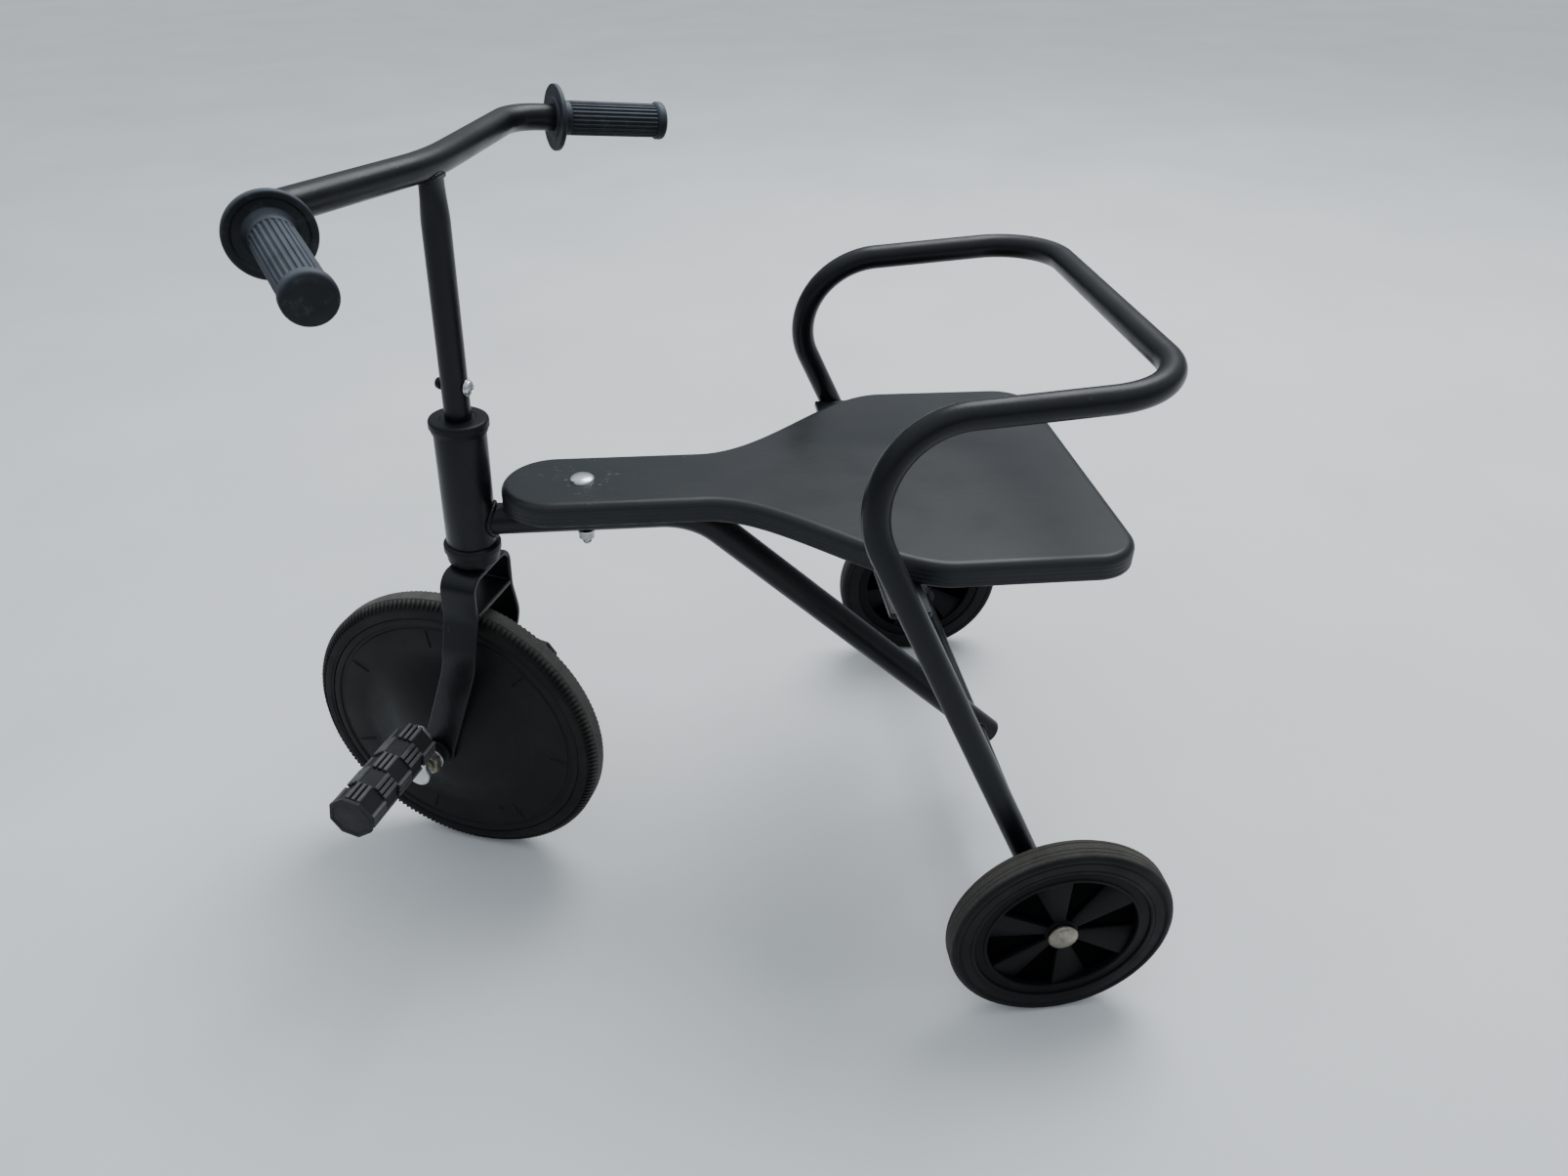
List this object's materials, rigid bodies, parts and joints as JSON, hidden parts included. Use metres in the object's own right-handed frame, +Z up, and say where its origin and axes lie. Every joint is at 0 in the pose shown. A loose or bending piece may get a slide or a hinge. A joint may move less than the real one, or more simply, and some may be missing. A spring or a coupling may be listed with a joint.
{
  "type": "child's pedal tricycle",
  "caption": "Child's front-pedal tricycle with a board seat inside one bent tube loop, disc front wheel and fan-bladed rear wheels.",
  "frame": {"origin": "on the floor, under the middle of the whole tricycle's box", "axes": "+X forward, +Y to the rider's left, +Z up"},
  "size_m": [0.5773, 0.4336, 0.5415],
  "materials": {
    "paint": "black powder coat, satin",
    "seat_paint": "plywood painted satin black, worn at the edges",
    "tyre": "solid black rubber, dusty tread",
    "rubber": "moulded black rubber, matt",
    "plastic": "moulded black plastic, slight sheen",
    "zinc": "bright zinc plate, lightly scuffed",
    "brown_zinc": "dulled zinc plate, brownish"
  },
  "bodies": {
    "main_frame": {"head_tube": "paint", "main_tube": "paint", "main_tube_plug": "plastic", "seat_loop": "paint", "rear_axle": "zinc", "seat_bar": "paint", "seat_board": "seat_paint", "seat_bolt": "zinc", "seat_bolt_washer": "zinc", "seat_bolt_nut": "zinc", "seat_screws": "zinc", "upper_head_bush": "plastic", "lower_head_bush": "plastic", "rear_washers": "zinc", "axle_cap_left": "brown_zinc", "axle_cap_right": "brown_zinc"},
    "steering": {"fork": "paint", "fork_brace": "paint", "steerer_tube": "paint", "stem_tube": "paint", "handlebar": "paint", "grip_left": "rubber", "grip_right": "rubber", "stem_bolt": "zinc", "stem_bolt_washer": "zinc", "stem_bolt_nut": "plastic", "fork_bush_left": "plastic", "fork_bush_right": "plastic"},
    "front_wheel": {"front_tyre": "tyre", "wheel_disc_left": "plastic", "wheel_disc_right": "plastic", "front_hub": "plastic", "front_axle": "zinc", "crank_left": "zinc", "crank_right": "zinc", "crank_washers": "zinc", "crank_nuts": "brown_zinc", "pedal_clip_left": "zinc", "pedal_clip_right": "zinc"},
    "left_pedal": {"pedal_left": "rubber", "pedal_cap_left": "rubber"},
    "right_pedal": {"pedal_right": "rubber", "pedal_cap_right": "rubber"},
    "left_rear_wheel": {"rear_tyre_left": "tyre", "rear_rim_left": "plastic", "rear_bush_left": "plastic"},
    "right_rear_wheel": {"rear_tyre_right": "tyre", "rear_rim_right": "plastic", "rear_bush_right": "plastic"}
  },
  "joints": [
    {"name": "steer", "type": "hinge", "parent": "main_frame", "child": "steering", "pos_m": [0.15742, 0, 0.11135], "axis": [-0.0698, 0, 0.9976], "range_deg": [-67.5, 112.5]},
    {"name": "front_wheel_spin", "type": "hinge", "parent": "steering", "child": "front_wheel", "pos_m": [0.1823, -0.01033, 0.11309], "axis": [0.3818, 0.9239, 0.0267], "continuous": true},
    {"name": "left_pedal_spin", "type": "hinge", "parent": "front_wheel", "child": "left_pedal", "pos_m": [0.175, -0.00836, 0.14931], "axis": [0.3818, 0.9239, 0.0267], "continuous": true},
    {"name": "right_pedal_spin", "type": "hinge", "parent": "front_wheel", "child": "right_pedal", "pos_m": [0.1896, -0.0123, 0.07687], "axis": [0.3818, 0.9239, 0.0267], "continuous": true},
    {"name": "left_rear_wheel_spin", "type": "hinge", "parent": "main_frame", "child": "left_rear_wheel", "pos_m": [-0.21465, 0, 0.074], "axis": [0, 1, 0], "continuous": true},
    {"name": "right_rear_wheel_spin", "type": "hinge", "parent": "main_frame", "child": "right_rear_wheel", "pos_m": [-0.21465, 0, 0.074], "axis": [0, 1, 0], "continuous": true}
  ]
}
